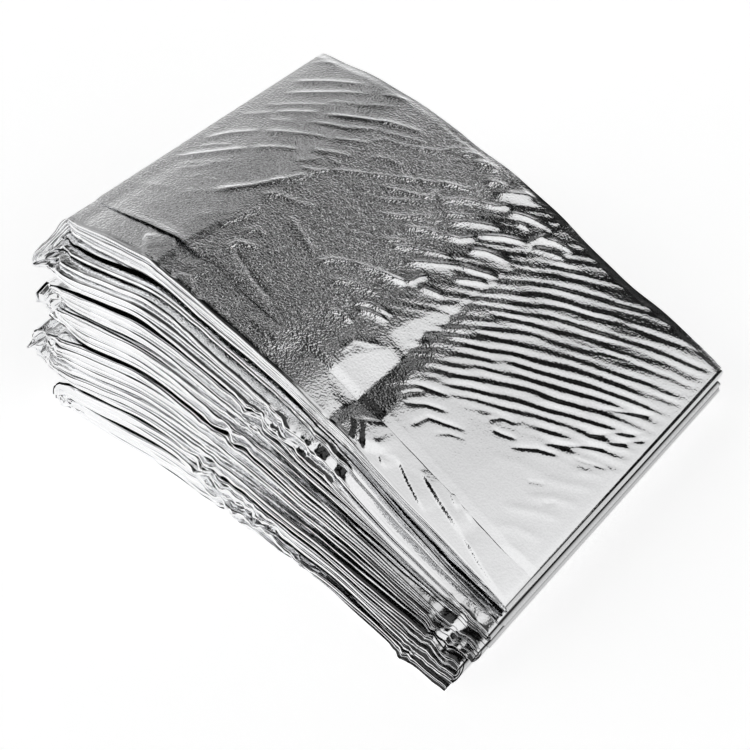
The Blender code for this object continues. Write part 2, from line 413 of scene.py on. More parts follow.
def pairPoints(pair):  # the points of one pair of runs, with the turns after each
    upper, lower = 2 * pair, 2 * pair + 1
    detailed = pair == 0
    start, stop = runEnds(upper)
    parts = [runPoints(upper, stationsAlong(start, stop)[::-1], detailed)]
    if pair == 0:
        parts.insert(0, closedEnd(parts[0][0])[::-1])
    parts.append(turnPoints(upper, start, -pairRows[pair][1], detailed))
    start, stop = runEnds(lower)
    parts.append(runPoints(lower, stationsAlong(start, stop), detailed))
    if pair < 3:
        parts.append(turnPoints(lower, stop, stack["tightTurn"], detailed))
        parts.append(runPoints(lower + 1, np.array([stop]), detailed))
    return np.concatenate(parts, 0)


pressRows = (  # share of the height at which the runs part, evenly and at the tight end
    (0.0, 0.0),
    (0.125, 0.11),
    (0.375, 0.35),
    (0.625, 0.50),
    (0.875, 0.65),
    (1.0, 1.0),
)


def pressed(points):  # the top run stays thicker than the others toward the tight end
    x, y, z = (points[..., i] for i in range(3))
    top = stackTop(x, y)
    share = alongRows(pressRows, 1, z / top)
    moved = points.copy()
    moved[..., 2] = mix(z, top * share, between(x, *stack["pressSpan"]) * (z < top))
    ahead = np.clip(frontLine(0, x) - 0.2 - y, 0, stack["droopReach"])
    droop = stack["droop"] * between(x, *stack["droopSpan"])
    droop = droop * np.clip(moved[..., 2] / (stack["droopLow"] * top), 0, 1)
    start, stop, left = stack["droopEnd"]
    moved[..., 2] -= droop * mix(1, left, between(x, start, stop)) * ahead
    return moved


def toPart(points):  # into the part's frame, in metres
    moved = points - np.array([stack["centreX"], stack["centreY"], 0.0])
    return moved * 0.001


def nearLips(detailed):  # 1 on the lips, fading to 0 a few millimetres behind them
    path = crossPath(detailed)
    marks = [1.0 if turn else 1 - between(share, 0.004, 0.016) for _, share, turn in path]
    return np.where([share > 0.5 for _, share, _ in path], 0.0, marks)


def grainShare(x, y):  # how strongly the fine grain shows, least where the film is drawn tight
    loose = mix(0.4, 1.0, between(x, 27, 33)) * mix(1.0, 0.25, between(x, 60, 68)) * (x < 78)
    tightLine = mix(46, 66, np.clip((x - 84) / 38, 0, 1))
    tight = 0.22 * between(x, 78, 83) * ease((y - tightLine) / 22)
    band = 0.4 * between(x, 77.5, 79) * between(x, 86, 82) * between(y, 10, 18)
    return np.maximum(np.maximum(loose, tight), np.maximum(band, 0.1))


def paintedSeamShade(pair):  # painted shade by row: 1 in the seams between the turns at the tight end, a lighter painted shade over the rest of the closed ends, 0 on the runs
    inRun = strip["looseStations"] + strip["stations"]
    turn = np.cos(np.arange(1, strip["turnSteps"]) / strip["turnSteps"] * math.pi)
    shades = [np.zeros(inRun), np.zeros(len(turn)), np.zeros(inRun)]
    if pair == 0:
        cap = 1 - np.arange(strip["capSteps"], 0, -1) / strip["capSteps"]
        shades.insert(0, mix(strip["paintedEndShade"], 1, between(cap, 0.62, 0.77)))
    if pair < 3:
        shades += [mix(strip["paintedEndShade"], 1, between(turn, 0.8, 0.9)), np.ones(1)]
    return np.concatenate(shades)


def pathLengths(path):  # how far each point of a path is from its start
    return np.append(0, np.cumsum(np.linalg.norm(np.diff(path, axis=0), axis=1)))


def markPoints(mesh, name, values):
    mesh.attributes.new(name, "FLOAT", "POINT").data.foreach_set("value", values)


def sheetObject(name, points, leaveOut=None, lips=None, paintedShade=None):
    rows, columns = points.shape[:2]
    grid = bmesh.new()
    bmesh.ops.create_grid(grid, x_segments=columns - 1, y_segments=rows - 1, size=1.0)
    grid.verts.ensure_lookup_table()
    places = np.array([v.co[:2] for v in grid.verts])
    column = np.rint((places[:, 0] + 1) / 2 * (columns - 1)).astype(int)
    row = np.rint((places[:, 1] + 1) / 2 * (rows - 1)).astype(int)
    moved = toPart(points[row, column])
    for v, place in zip(grid.verts, moved):
        v.co = place
    if leaveOut is not None:
        gone = leaveOut[row, column]
        doomed = {f for f in grid.faces if all(gone[v.index] for v in f.verts)}
        keptVertices = sorted({v.index for f in grid.faces if f not in doomed for v in f.verts})
        bmesh.ops.delete(grid, geom=list(doomed), context="FACES")
    for face in grid.faces:
        face.smooth = True
    mesh = bpy.data.meshes.new(name)
    grid.to_mesh(mesh)
    grid.free()
    # the film's own measure, in millimetres along and across it, and where its lips are
    along = pathLengths(points[:, columns // 2])
    across = pathLengths(points[rows // 3])
    measures = np.stack([along[row], across[column]], 1)
    corner = np.zeros(len(mesh.loops), dtype=np.int32)
    mesh.loops.foreach_get("vertex_index", corner)
    kept = np.arange(len(row)) if leaveOut is None else np.array(keptVertices)
    mesh.uv_layers.new(name="film").uv.foreach_set("vector", measures[kept][corner].ravel())
    grain = grainShare(points[..., 0], points[..., 1])[row, column]
    if lips is not None:
        markPoints(mesh, "lips", lips[column[kept]])
        grain = grain * (1 - lips[column])
    markPoints(mesh, "grain", grain[kept])
    # the painted shade of the closed ends and their seams, by row
    if paintedShade is not None:
        markPoints(mesh, "painted_shade", paintedShade[row[kept]])
    sheet = bpy.data.objects.new(name, mesh)
    bpy.context.scene.collection.objects.link(sheet)
    return sheet


# where the camera stands, in millimetres; creases are also placed as it sees them
viewFrom = {
    "around": 41.041,  # degrees from -Y toward +X
    "above": 46.091,
    "turned": -1.055,
    "distance": 312.9,
    "lookAt": (60.77, 49.44, 10.3),
    "lens": 61.69,
    "sensor": 36.0,
    "pixels": 750,  # across the square view
    "sheetRise": 0.4,  # of the creases over the stack's top
    "rounds": 24,  # of nearing that height
}
around, above = math.radians(viewFrom["around"]), math.radians(viewFrom["above"])
backward = Vector(
    (math.sin(around) * math.cos(above), -math.cos(around) * math.cos(above), math.sin(above))
)
sideways = (-backward).cross(Vector((0, 0, 1))).normalized()
upward = sideways.cross(-backward)
turned = math.radians(viewFrom["turned"])
right = math.cos(turned) * sideways + math.sin(turned) * upward
up = -math.sin(turned) * sideways + math.cos(turned) * upward
eye = Vector(viewFrom["lookAt"]) + backward * viewFrom["distance"]


def seenPlace(across, down):  # where on the top sheet a pixel of the camera's view lies
    pixel = viewFrom["sensor"] / viewFrom["lens"] / viewFrom["pixels"]
    centre = viewFrom["pixels"] / 2
    ray = (across - centre) * pixel * right - (down - centre) * pixel * up - backward
    height = 0.0
    for _ in range(viewFrom["rounds"]):
        place = eye + ray * ((height - eye.z) / ray.z)
        height = float(stackTop(place.x, place.y)) + viewFrom["sheetRise"]
    return round(place.x, 1), round(place.y, 1)


def seenCreases(marks):  # the same rows with their points in millimetres
    rows = ()
    for x0, y0, x1, y1, x2, y2, width, height in marks:
        curve = (*seenPlace(x0, y0), *seenPlace(x1, y1), *seenPlace(x2, y2))
        rows += ((*curve, width, height),)
    return rows


# The creases of the top sheet are placed one by one. Each row holds three points of a curve,
# the crease's half width and its height. Where the rows are called marks, the points are
# pixels across and down the camera's view, and all else is in millimetres.
creases = {
    "sharpness": 1.35,
    "faintSharpness": 2.0,
    "strength": 1.25,
    "middleStrength": (1.7, 1.4),  # toward the loose end, and past the span below
    "middleSpan": (50.0, 62.0),
    "fadeShare": 4.5,  # creases fade toward their ends
}


def curveDistance(curve, x, y):  # how far off a curve each point is, on which side, and the fade
    x0, y0, x1, y1, x2, y2 = curve
    nearest = np.full(x.shape, 1e9)
    side = np.zeros_like(x)
    alongBest = np.zeros_like(x)
    for ax, ay, bx, by, base in ((x0, y0, x1, y1, 0.0), (x1, y1, x2, y2, 0.5)):
        dx, dy = bx - ax, by - ay
        share = np.clip(((x - ax) * dx + (y - ay) * dy) / (dx * dx + dy * dy), 0, 1)
        away = np.hypot(x - ax - share * dx, y - ay - share * dy)
        closer = away < nearest
        nearest = np.where(closer, away, nearest)
        side = np.where(closer, np.sign(dx * (y - ay) - dy * (x - ax)), side)
        alongBest = np.where(closer, base + share / 2, alongBest)
    toEnd = np.minimum(alongBest, 1 - alongBest)
    return nearest, side, np.clip(creases["fadeShare"] * toEnd, 0, 1) ** 0.7


def creaseHeight(rows, x, y, sharpness):
    total = np.zeros_like(x)
    for *curve, width, height in rows:
        away, _, fade = curveDistance(curve, x, y)
        total += height * fade * np.exp(-((away / width) ** sharpness))
    return total


def stepHeight(rows, x, y):  # each row ends with the step's width and its drop
    total = np.zeros_like(x)
    for *curve, width, drop in rows:
        away, side, fade = curveDistance(curve, x, y)
        signed = side * away
        rise = ease(signed / width + 0.5) * np.exp(-np.maximum(signed, 0) / (5 * width))
        total += drop * fade * rise
    return total


looseMarks = (  # the soft ridges near the loose end
    (305, 64, 322, 61.5, 338, 63.5, 0.8, 0.1),
    (292, 81.5, 330, 81.5, 372, 86, 0.9, 0.18),
    (284, 93, 330, 92.5, 372, 94.5, 0.8, 0.17),
    (325, 101.5, 362, 105, 396, 106.5, 0.8, 0.12),
    (262, 105, 300, 104, 350, 107, 0.9, 0.09),
    (275, 111.5, 300, 111.5, 321, 112.5, 0.7, 0.14),
    (322, 114.5, 360, 118.5, 402, 125.5, 0.8, 0.26),
    (306, 121, 345, 127.5, 385, 130.5, 0.8, 0.18),
    (203, 138, 230, 132.5, 262, 130, 0.9, 0.17),
    (262, 130, 300, 133, 332, 138, 0.9, 0.17),
    (328, 137.5, 350, 140.5, 372, 142.5, 0.8, 0.15),
    (172, 156.5, 215, 151, 250, 147, 0.9, 0.19),
    (250, 147, 275, 146.5, 303, 149.5, 0.9, 0.18),
    (198, 146, 215, 143.5, 233, 143.5, 0.5, 0.07),
    (176, 167, 196, 166, 214, 163, 0.7, 0.08),
    (190, 176, 198, 174, 206, 173.5, 0.4, 0.05),
    (204, 176.5, 210, 177.5, 217, 178.5, 0.4, 0.05),
    (212, 190, 252, 184.5, 285, 178.5, 1, 0.26),
    (270, 181, 290, 177.5, 312, 173, 0.9, 0.26),
    (300, 166.5, 316, 170.5, 333, 169.5, 0.6, 0.22),
    (330, 169.5, 345, 170, 372, 174, 0.6, 0.2),
    (366, 173, 390, 176, 420, 180, 0.6, 0.2),
    (308, 148.5, 330, 152, 352, 156, 0.8, 0.18),
    (326, 156, 334, 161, 344, 166, 0.6, 0.12),
    (290, 158, 306, 160, 322, 157.5, 0.8, 0.12),
    (262, 194, 278, 192.5, 296, 200.5, 0.7, 0.2),
    (290, 198, 301, 202, 314, 204.5, 0.7, 0.14),
    (372, 141, 384, 138.5, 396, 142.5, 0.5, 0.12),
    (392, 142, 408, 146, 424, 150, 0.6, 0.12),
    (368, 156.5, 388, 158.5, 405, 166.5, 0.7, 0.16),
    (380, 94, 396, 96.5, 412, 101, 0.8, 0.14),
    (240, 113.5, 258, 113, 274, 112, 0.8, 0.09),
    (268, 119, 282, 120, 296, 122, 0.8, 0.06),
)
looseRidges = seenCreases(looseMarks) + (
    (6, 42, 11, 46, 17, 51, 1.2, 0.06),
    (15, 34, 20, 39, 25, 45, 1.2, 0.07),
    (3, 31, 8, 33, 12, 35, 1.3, 0.07),
    (24, 30, 28, 35, 31, 40, 1.2, 0.07),
)
middleMarks = (  # from the loose ridges to the crease across the middle
    (378, 121, 402, 126.5, 426, 134, 0.8, 0.2),
    (380, 131.5, 402, 137, 426, 143, 0.8, 0.14),
    (412, 147, 440, 151, 462, 148, 0.7, 0.14),
    (440, 120, 456, 134, 484, 153, 0.7, -0.14),
    (223, 246, 237, 240.5, 258, 245, 0.7, 0.2),
    (232, 243, 252, 274, 274, 301, 0.6, -0.18),
    (241, 231, 256, 226.5, 267, 236, 0.7, 0.13),
    (220, 223, 244, 213.5, 265, 203.5, 0.9, 0.22),
    (289, 214, 302, 235, 315, 256, 1, 0.2),
    (317, 262.5, 332, 258, 352, 261.5, 0.7, 0.22),
    (350, 261, 380, 272, 406, 284, 0.7, 0.26),
    (328, 279, 350, 281.5, 378, 294, 0.7, 0.18),
    (326, 310, 340, 312.5, 352, 322, 0.7, 0.24),
    (341, 352, 355, 341, 382, 347, 0.8, 0.14),
    (356, 309, 372, 314, 388, 322, 0.6, 0.24),
    (352, 302, 370, 304, 392, 316, 0.7, 0.22),
    (460, 154, 472, 153.5, 484, 157, 0.8, 0.24),
    (474, 162, 487, 164.5, 499, 172, 1.2, 0.4),
    (484, 181, 497, 183, 509, 190, 1.2, 0.4),
    (493, 194.5, 512, 195, 537, 198, 1.5, 0.5),
    (400, 177, 420, 180, 440, 183, 0.7, 0.14),
    (436, 181, 456, 186, 476, 193, 0.7, 0.26),
    (380, 186, 402, 191, 422, 196, 0.7, 0.2),
    (420, 196, 428, 197, 438, 191, 0.6, 0.24),
    (438, 202, 460, 199.5, 482, 202, 0.8, 0.26),
    (480, 202, 496, 207, 511, 206, 0.8, 0.26),
    (380, 213, 405, 216, 440, 216, 0.7, 0.2),
    (444, 213, 460, 214.5, 484, 217, 0.7, 0.2),
    (449, 223.5, 466, 222, 502, 228, 0.8, 0.28),
    (400, 227, 425, 229.5, 446, 236, 0.7, 0.26),
    (444, 235, 460, 240, 478, 236.5, 0.7, 0.28),
    (476, 236.5, 505, 238, 531, 245, 0.8, 0.28),
    (528, 245, 537, 239, 550, 234, 0.7, 0.26),
    (508, 212, 526, 217, 552, 230, 0.8, 0.28),
    (517, 223, 522, 225, 528, 229, 0.6, 0.2),
    (538, 238, 556, 243, 573, 252, 0.8, 0.28),
    (532, 250, 550, 253.5, 567, 260, 0.8, 0.26),
    (468, 250, 486, 252.5, 512, 263.5, 0.9, 0.3),
    (392, 247, 401, 246.5, 410, 249, 0.7, 0.22),
    (405, 262, 430, 263.5, 460, 267, 0.8, 0.28),
    (458, 267, 480, 273, 498, 278, 0.8, 0.28),
    (380, 272, 394, 280, 408, 283, 0.7, 0.26),
    (407, 283, 416, 279.5, 428, 275, 0.7, 0.26),
    (453, 279.5, 470, 281, 489, 284.5, 0.7, 0.24),
    (418, 287, 430, 291, 443, 297, 0.7, 0.22),
    (380, 199, 404, 200, 428, 201, 0.7, 0.14),
    (380, 239, 400, 240, 425, 252, 0.7, 0.16),
    (420, 250, 436, 253, 452, 258, 0.7, 0.16),
    (408, 168, 416, 180, 427, 195, 0.5, -0.12),
)
middleRidges = seenCreases(middleMarks)
middleTroughs = (
    (36, 30, 46, 27, 58, 24, 0.6, -0.08),
    (32, 63, 42, 64, 52, 60, 0.7, -0.07),
    (46, 79, 51, 77, 54, 76, 0.6, -0.07),
)
tightTroughs = (  # the single dark arcs past the ripples
    (80, 31, 84, 37, 90, 41, 0.6, -0.15),
    (83, 31, 84, 34, 86, 37, 0.5, -0.12),
    (85, 31, 88, 35, 92, 38, 0.5, -0.12),
    (89, 28, 90, 33, 97, 38, 0.5, -0.13),
    (93, 31, 95, 34, 98, 36, 0.4, -0.07),
    (98, 44, 100, 47, 103, 49, 0.6, -0.13),
    (100, 43, 102, 44, 105, 46, 0.5, -0.12),
    (105, 43, 109, 48, 113, 51, 0.5, -0.14),
    (112, 40, 113, 41, 115, 43, 0.4, -0.07),
    (117, 39, 118, 40, 119, 42, 0.4, -0.06),
    (109, 50, 114, 56, 119, 62, 0.5, -0.14),
    (115, 53, 118, 55, 122, 58, 0.5, -0.12),
    (114, 60, 117, 65, 123, 73, 0.5, -0.13),
    (118, 62, 121, 67, 124, 72, 0.4, -0.10),
    (112, 68, 117, 73, 122, 79, 0.5, -0.13),
)
tightRidges = (  # faint ones beside the tight edge
    (113, 26, 117, 30, 122, 33, 1.1, 0.07),
    (112, 31, 117, 36, 122, 40, 1.0, 0.08),
    (114, 37, 118, 42, 123, 46, 1.0, 0.08),
    (113, 43, 118, 47, 123, 52, 1.0, 0.07),
    (108, 45, 112, 49, 116, 53, 1.1, 0.05),
    (104, 38, 109, 42, 114, 45, 1.2, 0.04),
    (115, 22, 118, 25, 122, 27, 1.0, 0.05),
    (117, 50, 120, 54, 124, 58, 0.9, 0.07),
)


rippleRows = (  # patches of ripples: from x and to x, front y and back y, spacing along y,
    # height, wavelets, seed
    (76.0, 126.0, 36.0, 106.0, 3.75, 0.13, 520, 31),
    (36.0, 79.0, 40.0, 104.0, 3.1, 0.055, 460, 47),
    (84.0, 126.0, 84.0, 106.0, 2.3, 0.04, 260, 53),
)
crestRows = (  # x, how many degrees the crests turn from X there
    (30.0, 44.0),
    (66.0, 46.0),
    (80.0, 49.0),
    (90.0, 43.0),
    (104.0, 37.0),
    (126.0, 33.0),
)


def crestLine(x):  # the y that one crest reaches at x
    xs = np.arange(crestRows[0][0], 128.0, 1.0)
    rises = np.tan(np.radians(alongRows(crestRows, 1, xs)))
    return np.interp(x, xs, np.cumsum(rises))


def rippled(x, y):  # each patch is a crowd of short wave trains that nearly keep step
    total = np.zeros_like(x)
    for left, right, front, back, spacing, height, count, seed in rippleRows:
        rng = np.random.default_rng(seed)
        waves = np.zeros_like(x)
        weight = np.full_like(x, 0.06)
        for _ in range(count):
            cx, cy = rng.uniform(left, right), rng.uniform(front, back)
            lean = math.radians(float(alongRows(crestRows, 1, np.array(cx))))
            crest = lean + math.radians(rng.normal(0, 5))
            bend = 0.8 * math.sin(cx / 13 + cy / 23) + 0.6 * math.sin(cy / 11 - cx / 19)
            inStep = (cy - float(crestLine(cx)) + bend) / spacing
            along, across = rng.uniform(3.5, 7.0), rng.uniform(1.5, 2.7)
            phase = 2 * math.pi * (inStep + rng.normal(0, 0.14))
            turns = 2 * math.pi / (spacing * math.cos(lean) * rng.uniform(0.88, 1.15))
            u = math.cos(crest) * (x - cx) + math.sin(crest) * (y - cy)
            v = -math.sin(crest) * (x - cx) + math.cos(crest) * (y - cy)
            near = (np.abs(u) < 2.4 * along) & (np.abs(v) < 2.4 * across)
            share = np.exp(-((u[near] / along) ** 2) - (v[near] / across) ** 2)
            strength = rng.uniform(0.55, 1.25)
            waves[near] += strength * share * np.cos(turns * v[near] + phase)
            weight[near] += share
        total += height * waves / weight
    return total


def rippleShare(x, y):  # where the ripples show, toward the tight end and in the middle
    frontLimit = mix(39.0, 55.0, np.clip((x - 84) / 38, 0, 1))
    backLimit = mix(91.0, 97.0, np.clip((x - 80) / 44, 0, 1))
    tight = between(x, 75.5, 79.5) * between(x, 125.5, 120.5)
    tight = tight * ease((y - frontLimit + 3) / 7) * mix(1.0, 0.5, ease((y - backLimit) / 4))
    middle = between(x, 36, 48) * between(x, 79, 76) * between(y, 42, 58)
    return tight, middle * mix(1.0, 0.55, between(x, 60, 66))


foldRows = (  # stretches between old fold lines: from x and to x, at the front and at the back,
    # and how much steeper the sheet falls there, at the front and at the back
    (28.9, 30.3, 35.0, 37.0, 0.24, 0.0),
    (31.0, 70.6, 37.0, 76.0, -0.03, 0.0),
)
patchRows = (  # the bright patch before the middle fold: y, from x, to x
    (10.0, 76.6, 77.4),
    (14.0, 76.2, 77.4),
    (17.0, 75.6, 77.5),
    (19.5, 74.6, 77.6),
    (22.0, 71.8, 77.8),
    (24.0, 70.9, 78.0),
    (27.0, 70.8, 78.0),
    (30.0, 71.2, 77.9),
    (33.0, 72.5, 78.0),
    (36.0, 74.0, 78.0),
    (38.5, 74.6, 78.0),
    (41.0, 72.7, 77.6),
    (45.0, 73.0, 77.5),
    (48.0, 73.5, 76.8),
    (52.0, 74.6, 78.1),
    (56.0, 75.2, 78.0),
    (60.0, 76.8, 78.2),
    (70.0, 77.6, 78.2),
    (104.0, 77.6, 78.0),
)
patch = {
    "steep": 0.14,  # how much steeper the sheet falls there
    "softness": 0.15,  # of its edges
}


def stretchFall(x, start, stop, steep):  # a steeper stretch between two fold lines
    soft = patch["softness"]
    rise = (np.sqrt((x - start) ** 2 + soft**2) - np.sqrt((x - stop) ** 2 + soft**2)) / 2
    return -steep * rise


def foldLines(x, y):
    total = np.zeros_like(x)
    back = np.clip((y - 24) / 60, 0, 1)
    for frontFrom, frontTo, backFrom, backTo, steepFront, steepBack in foldRows:
        start = mix(frontFrom, backFrom, back)
        stop = mix(frontTo, backTo, back)
        total += stretchFall(x, start, stop, mix(steepFront, steepBack, back))
    wander = unevenness(91, y, (31.0, 12.0), (0.5, 0.35)) * ease((y - 52) / 12)
    start = alongRows(patchRows, 1, y) + wander
    stop = alongRows(patchRows, 2, y) + wander
    width = stop - start
    levelling = 0.8 * width + 0.6  # past the patch the sheet comes level again
    total += stretchFall(x, start, stop, patch["steep"])
    total += stretchFall(x, stop, stop + levelling, -patch["steep"] * width / levelling)
    return total


def endsFade(x):  # the creases die out at both ends
    return ease(x / 6) * between(x, 126.5, 123.5)


def sheetRelief(x, y):
    tight, middle = rippleShare(x, y)
    total = rippled(x, y) * np.maximum(tight, middle) + foldLines(x, y)
    for rows in (looseRidges, middleTroughs, tightTroughs):
        total += creases["strength"] * creaseHeight(rows, x, y, creases["sharpness"])
    total += creaseHeight(tightRidges, x, y, creases["faintSharpness"])
    strength = mix(*creases["middleStrength"], between(x, *creases["middleSpan"]))
    total += strength * creaseHeight(middleRidges, x, y, creases["sharpness"])
    return total * endsFade(x)


underSteps = (  # small steps down to the front, on the film before the cut edge
    (96.5, 22.3, 104, 20.3, 110.5, 19.0, 1.18, 0.33),
    (110, 19.2, 117, 17.2, 124.5, 15.6, 0.94, 0.26),
    (91.5, 20.5, 96.5, 18.2, 102.5, 16.2, 0.78, 0.22),
    (80.4, 19.6, 82.2, 18, 83.2, 15.6, 1.25, 0.35),
    (81.5, 21.6, 83.6, 19, 86.6, 15.5, 1.25, 0.35),
    (86.6, 18.9, 87.6, 18.6, 88.6, 18.3, 0.62, 0.17),
    (89, 17.6, 90.2, 17, 91.4, 16.4, 0.62, 0.17),
    (103.2, 24.1, 104.6, 23.2, 106.2, 22.4, 0.71, 0.20),
    (107.2, 24, 108.2, 23.4, 109.6, 22.9, 0.62, 0.17),
    (20.2, 19.6, 21.8, 17.6, 24.4, 15.6, 1.09, 0.28),
    (51.5, 19.2, 55.5, 18.4, 59.5, 16.2, 0.94, 0.26),
    (55, 20.2, 58.5, 19, 61.5, 17.8, 0.94, 0.26),
    (34, 13.5, 34.4, 16.4, 36.6, 17.4, 1.09, -0.31),
    (36.6, 17.2, 38.6, 16.4, 40.6, 13.6, 1.09, -0.31),
    (26.8, 22.2, 29.4, 20.6, 32.6, 18.4, 1.25, -0.35),
)


topSheet = {
    "acrossCount": 270,
    "alongCount": 350,
    "lift": 0.32,  # over the layer below it
    "curlReach": 1.6,
    "sink": 0.25,  # how far the layer below it gives way
    "cutLoose": 21.4,
    "cutTight": 24.4,
}
curlRows = (  # x, how far the cut edge stands up
    (-3.0, 0.05),
    (3.0, 0.22),
    (12.0, 0.42),
    (24.0, 0.55),
    (31.0, 0.5),
    (35.0, 0.06),
    (46.0, 0.06),
    (51.0, 0.26),
    (59.0, 0.22),
    (63.0, 0.03),
    (80.0, 0.03),
    (86.0, 0.22),
    (100.0, 0.26),
    (114.0, 0.2),
    (120.0, 0.04),
    (127.0, 0.0),
)


def cutEdge(x):
    share = np.clip(x / stack["length"], 0, 1)
    edge = mix(topSheet["cutLoose"], topSheet["cutTight"], share**0.8)
    return edge + unevenness(77, x, (60.0, 24.0, 9.0), (0.25, 0.12, 0.05))


def topSheetPoints():
    start, stop = runEnds(0)
    stations = np.linspace(start, stop, topSheet["alongCount"])
    shares = np.linspace(0, 1, topSheet["acrossCount"]) ** 1.08
    xs = np.repeat(stations[:, None], len(shares), 1)
    front = cutEdge(stations)[:, None]
    back = backEdge(0, 0, stations)[:, None]
    ys = mix(front, back, shares[None])
    low, high = runFaces(0, xs, ys)
    lift = topSheet["lift"] * ease((ys - front) / 3 + 0.1) * ease((back - ys) / 3)
    curl = alongRows(curlRows, 1, xs) * np.exp(-(((ys - front) / topSheet["curlReach"]) ** 2))
    heights = high + lift + curl + sheetRelief(xs, ys) * ease((back - ys) / 2.5)
    return np.stack([xs, ys, heights], -1)


crushRows = (  # crushed places along the front: x, z, half widths, shove outwards, size
    (51.0, 9.0, 6.0, 5.5, 0.3, 1.0),
    (57.5, 2.5, 5.0, 3.5, 0.2, 0.9),
    (66.0, 6.0, 6.0, 3.5, 0.2, 0.8),
    (79.0, 1.5, 4.5, 2.5, 0.2, 0.7),
    (55.0, 24.0, 7.0, 3.0, 0.0, 0.6),
    (65.0, 32.0, 8.0, 3.5, 0.2, 0.9),
    (75.0, 30.0, 6.0, 3.0, 0.2, 1.0),
    (82.0, 28.5, 4.0, 3.0, 0.1, 1.0),
    (46.0, 44.0, 8.0, 2.5, 0.0, 0.5),
    (112.0, 1.0, 2.5, 2.0, 0.6, 0.5),
    (118.0, 6.5, 5.0, 3.5, 0.1, 0.6),
    (123.0, 3.5, 3.0, 3.0, 0.0, 0.5),
    (0.0, 47.0, 4.0, 5.0, 0.0, 1.6),
    (0.0, 33.0, 4.0, 6.0, 0.0, 1.5),
    (0.0, 22.5, 5.0, 5.0, 0.0, 1.6),
    (1.0, 4.0, 5.0, 4.0, 0.0, 1.3),
)


crush = {
    "spans": (9.0, 6.0, 4.0, 2.6, 1.7),  # the sizes of the facets
    "reach": 9.0,  # how far back from the front they go
    "backEnd": (13.0, 17.0),
    "lift": 0.6,  # how much they move up and down, against in and out
}


def crushWaves(x, y, z, seed):  # flat facets that meet in sharp creases
    rng = np.random.default_rng(seed)
    total = np.zeros_like(x)
    for span in crush["spans"]:
        turn = rng.uniform(0, math.pi)
        lean = rng.uniform(-0.4, 0.4)
        along = math.cos(turn) * x + math.sin(turn) * z + lean * y
        bend = 0.3 * np.sin(x / 4.1 + z / 3.3 + 5 * rng.random())
        turns = along / span + bend + rng.random()
        facets = 4 * np.abs(turns - np.floor(turns + 0.5)) - 1
        total += span / crush["spans"][0] * facets
    return total


def crumpled(points):  # every layer near a crushed place moves with its neighbours
    x, y, z = (points[..., i] for i in range(3))
    out = np.zeros_like(x)
    up = np.zeros_like(x)
    for index, (atX, atZ, wide, tall, shove, size) in enumerate(crushRows):
        share = np.exp(-(((x - atX) / wide) ** 2) - ((z - atZ) / tall) ** 2)
        share = share * np.exp(-((np.maximum(y - 2, 0) / crush["reach"]) ** 2))
        share = share * (1 - between(y, *crush["backEnd"]))
        out -= share * shove + share * size * crushWaves(x, y, z, 60 + index)
        up += crush["lift"] * share * size * crushWaves(x, y, z, 160 + index)
    moved = points.copy()
    moved[..., 1] += out
    moved[..., 2] += up * ease(z / 2.5) * ease((stackTop(x, y) + 0.6 - z) / 1.5)
    return moved


print("making the top sheet")
topPiece = sheetObject("foil_top_layer", topSheetPoints())
pairPieces = []
for pair in range(4):
    print("folding pair", pair + 1)
    points = pairPoints(pair)
    leaveOut = None
    if pair == 0:
        path = crossPath(True)
        outer = np.array([layer == 0 and turn is None for layer, share, turn in path])
        topRun = strip["capSteps"] + strip["looseStations"] + strip["stations"]
        inRun = np.arange(points.shape[0]) < topRun
        leaveOut = inRun[:, None] & outer[None]
        xs, ys = points[..., 0], points[..., 1]
        low, high = runFaces(0, xs, ys)
        near = np.clip((points[..., 2] - low) / (high - low), 0, 1) * inRun[:, None]
        visible = ease((cutEdge(xs) + 2.5 - ys) / 2)
        creased = foldLines(xs, ys) * endsFade(xs)
        sink = -topSheet["sink"] * (1 - ease((cutEdge(xs) + 3 - ys) / 3))
        steps = near**3 * visible * stepHeight(underSteps, xs, ys)
        points[..., 2] += near * (creased + sink) + steps
    points = crumpled(pressed(points))
    name = "foil_fold_%d" % (pair + 1)
    lips = nearLips(pair == 0)
    pairPieces.append(sheetObject(name, points, leaveOut, lips, paintedSeamShade(pair)))


film = {
    "colour": (0.93, 0.933, 0.94),
    "dullColour": (0.89, 0.893, 0.90),
    "dullRange": (0.32, 0.62),
    # painted shade: near black, painted fully into the seams between the turns at the tight end
    # and partly over the closed ends
    "paintedShadeColour": (0.01, 0.01, 0.01),
    "roughness": 0.07,
    "roughnessRange": 0.03,
    "grainSize": 0.0005,  # in metres, as are the depths
    "grainDepth": 0.00024,
    "mottleSize": 0.0038,
    "mottleDepth": 0.00005,
    "streakLength": 14.0,  # in millimetres of the film itself
    "streakWidth": 0.7,
    "streakDepth": 0.00005,
}


def addNoise(nodes, links, vector, scale, detail):
    noise = nodes.new("ShaderNodeTexNoise")
    noise.inputs["Scale"].default_value = scale
    noise.inputs["Detail"].default_value = detail
    links.new(vector, noise.inputs["Vector"])
    return noise.outputs["Fac"]


def addBump(nodes, links, height, depth, below):
    bump = nodes.new("ShaderNodeBump")
    bump.inputs["Strength"].default_value = 1.0
    bump.inputs["Distance"].default_value = depth
    links.new(height, bump.inputs["Height"])
    if below is not None:
        links.new(below, bump.inputs["Normal"])
    return bump


def attributeValue(nodes, name):
    attribute = nodes.new("ShaderNodeAttribute")
    attribute.attribute_name = name
    return attribute.outputs["Fac"]


